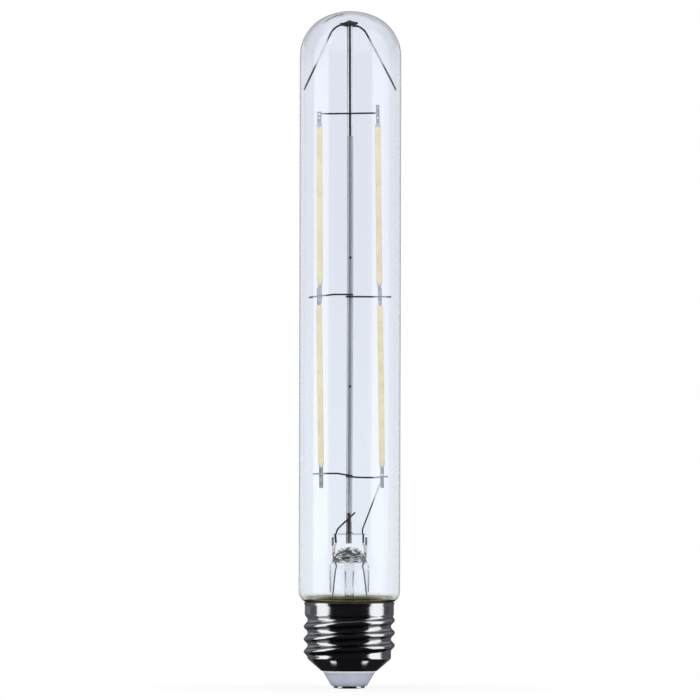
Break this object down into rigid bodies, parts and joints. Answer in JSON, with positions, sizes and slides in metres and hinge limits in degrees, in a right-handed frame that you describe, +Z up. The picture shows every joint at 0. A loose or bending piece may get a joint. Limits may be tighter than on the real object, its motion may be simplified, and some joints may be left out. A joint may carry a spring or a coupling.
{
  "type": "tubular light bulb",
  "caption": "Clear tubular filament bulb: long glass tube with a domed top, slim filaments on a centre rod, and a plated screw base.",
  "frame": {"origin": "on the lamp's axis, in the bottom face of the centre contact", "axes": "+Z up the axis from the base to the dome; -Y faces the viewer of the picture and +X is to the viewer's right"},
  "size_m": [0.0292, 0.0292, 0.1952],
  "materials": {
    "clear_glass": "clear, polished",
    "shell_metal": "bright nickel plate",
    "contact_metal": "tinned",
    "insulator_white": "white moulded",
    "cement": "baked resin cement",
    "rod_metal": "polished",
    "sleeve_grey": "satin",
    "wire_metal": "drawn nickel wire",
    "tab_metal": "stamped strip",
    "filament_coating": "phosphor in silicone",
    "seal_copper": "copper-clad",
    "lead_metal": "tinned wire",
    "board": "solder mask",
    "chip_black": "moulded",
    "capacitor_can": "drawn can"
  },
  "bodies": {
    "root": {"basing_cement": "cement", "bottom_left_wire": "wire_metal", "bottom_right_wire": "wire_metal", "capacitor": "capacitor_can", "centre_contact": "contact_metal", "centre_rod": "rod_metal", "contact_lead": "lead_metal", "driver_board": "board", "driver_chip": "chip_black", "exhaust_tube": "clear_glass", "fuse_resistor": "chip_black", "glass_envelope": "clear_glass", "glass_stem": "clear_glass", "insulator": "insulator_white", "left_inner_lead": "wire_metal", "left_outer_lead": "lead_metal", "left_seal_wire": "seal_copper", "left_spring_arm": "wire_metal", "lower_left_bottom_tab": "tab_metal", "lower_left_filament": "filament_coating", "lower_left_top_tab": "tab_metal", "lower_right_bottom_tab": "tab_metal", "lower_right_filament": "filament_coating", "lower_right_top_tab": "tab_metal", "middle_left_wire": "wire_metal", "middle_right_wire": "wire_metal", "rectifier": "chip_black", "right_inner_lead": "wire_metal", "right_outer_lead": "lead_metal", "right_seal_wire": "seal_copper", "right_spring_arm": "wire_metal", "rod_sleeve": "sleeve_grey", "screw_shell": "shell_metal", "shell_lead": "lead_metal", "top_cross_wire": "wire_metal", "upper_left_bottom_tab": "tab_metal", "upper_left_filament": "filament_coating", "upper_left_top_tab": "tab_metal", "upper_right_bottom_tab": "tab_metal", "upper_right_filament": "filament_coating", "upper_right_top_tab": "tab_metal"}
  },
  "joints": []
}
